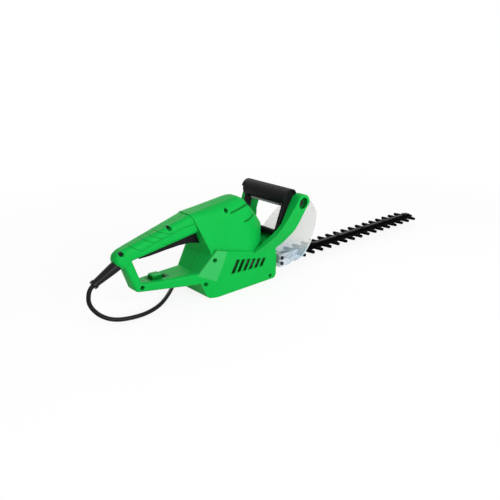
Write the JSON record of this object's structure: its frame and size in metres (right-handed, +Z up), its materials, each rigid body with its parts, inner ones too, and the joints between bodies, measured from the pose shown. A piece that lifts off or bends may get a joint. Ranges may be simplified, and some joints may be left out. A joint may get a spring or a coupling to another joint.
{
  "type": "hedge trimmer",
  "caption": "Corded electric hedge trimmer with a green clamshell body, closed rear grip, black front handle loop, clear hand guard and a double-sided reciprocating blade.",
  "frame": {"origin": "on the surface it rests on, under the middle of its length and width, without the cord", "axes": "+X forward along the blade, +Y to the tool's left, +Z up"},
  "size_m": [0.8224, 0.1675, 0.159],
  "materials": {
    "green_shell": "moulded, satin with a fine grain",
    "black_plastic": "moulded, matt",
    "grey_plastic": "moulded, satin",
    "clear_guard": "clear, slightly smoky",
    "blade_steel": "black oxide, ground cutting edges",
    "black_screw": "black oxide",
    "steel": "machined",
    "aluminium": "die cast",
    "lamination": "stacked sheet",
    "copper": "varnished wire",
    "bronze": "sintered or pressed",
    "carbon": "pressed carbon",
    "cord_rubber": "matt",
    "boot_rubber": "satin",
    "plug_pin_metal": "plated"
  },
  "bodies": {
    "housing": {"housing_right": "green_shell", "housing_left": "green_shell", "housing_screws": "black_screw", "front_handle": "black_plastic", "front_handle_screws": "black_screw", "front_switch": "black_plastic", "bar_springs": "steel", "hand_guard": "clear_guard", "guard_screws": "black_screw", "guide_bar": "blade_steel", "blade_spacers": "steel", "blade_bolts": "black_screw", "gear_case": "aluminium", "gear_case_screws": "steel", "base_plate": "steel", "spindle_bush": "bronze", "spindle_bearing": "steel", "stator_core": "lamination", "field_coils": "copper", "lower_bearing": "steel", "upper_bearing": "steel", "end_bracket": "black_plastic", "brush_holders": "bronze", "carbon_brushes": "carbon", "trigger_pin": "steel", "rear_switch": "black_plastic", "cord_boot": "boot_rubber", "power_cord": "cord_rubber", "plug_body": "cord_rubber", "plug_pins": "plug_pin_metal"},
    "trigger": {"trigger": "black_plastic"},
    "rear_plunger": {"rear_plunger": "grey_plastic"},
    "front_switch_bar": {"front_switch_bar": "grey_plastic"},
    "lock_slide": {"lock_slide": "green_shell"},
    "upper_blade": {"upper_blade": "blade_steel"},
    "lower_blade": {"lower_blade": "blade_steel"},
    "armature": {"armature_shaft": "steel", "armature_core": "lamination", "armature_windings": "copper", "commutator": "copper", "fan": "black_plastic"},
    "crank": {"crank_gear": "steel", "crank_spindle": "steel", "upper_eccentric": "steel", "lower_eccentric": "steel"}
  },
  "joints": [
    {"name": "trigger_squeeze", "type": "hinge", "parent": "housing", "child": "trigger", "pos_m": [-0.346, 0, 0.098], "axis": [0, -1, 0], "range_deg": [0, 5], "stiffness_Nm_per_rad": 6, "springref_deg": -5.73},
    {"name": "plunger_slide", "type": "slide", "parent": "housing", "child": "rear_plunger", "axis": [0, 0, 1], "range_m": [0, 0.0028]},
    {"name": "switch_bar_slide", "type": "slide", "parent": "housing", "child": "front_switch_bar", "axis": [0.2974, 0, 0.9548], "range_m": [0, 0.004], "stiffness_N_per_m": 1500, "springref_m": -0.004, "deforming": ["bar_springs"]},
    {"name": "lock_slide_move", "type": "slide", "parent": "housing", "child": "lock_slide", "axis": [0.9991, 0, -0.0434], "range_m": [0, 0.008]},
    {"name": "upper_blade_slide", "type": "slide", "parent": "housing", "child": "upper_blade", "axis": [1, 0, 0], "range_m": [-0.005, 0.005]},
    {"name": "lower_blade_slide", "type": "slide", "parent": "housing", "child": "lower_blade", "axis": [1, 0, 0], "range_m": [-0.005, 0.005]},
    {"name": "motor_spin", "type": "hinge", "parent": "housing", "child": "armature", "pos_m": [-0.165, 0, 0.09], "axis": [0, 0, 1], "continuous": true},
    {"name": "crank_spin", "type": "hinge", "parent": "housing", "child": "crank", "pos_m": [-0.132, 0, 0.03], "axis": [0, 0, 1], "continuous": true}
  ],
  "couplings": [
    {"joint": "plunger_slide", "follows": "trigger_squeeze", "m_per_rad": 0.031},
    {"joint": "lower_blade_slide", "follows": "upper_blade_slide", "ratio": -1},
    {"joint": "crank_spin", "follows": "motor_spin", "ratio": -0.25}
  ]
}
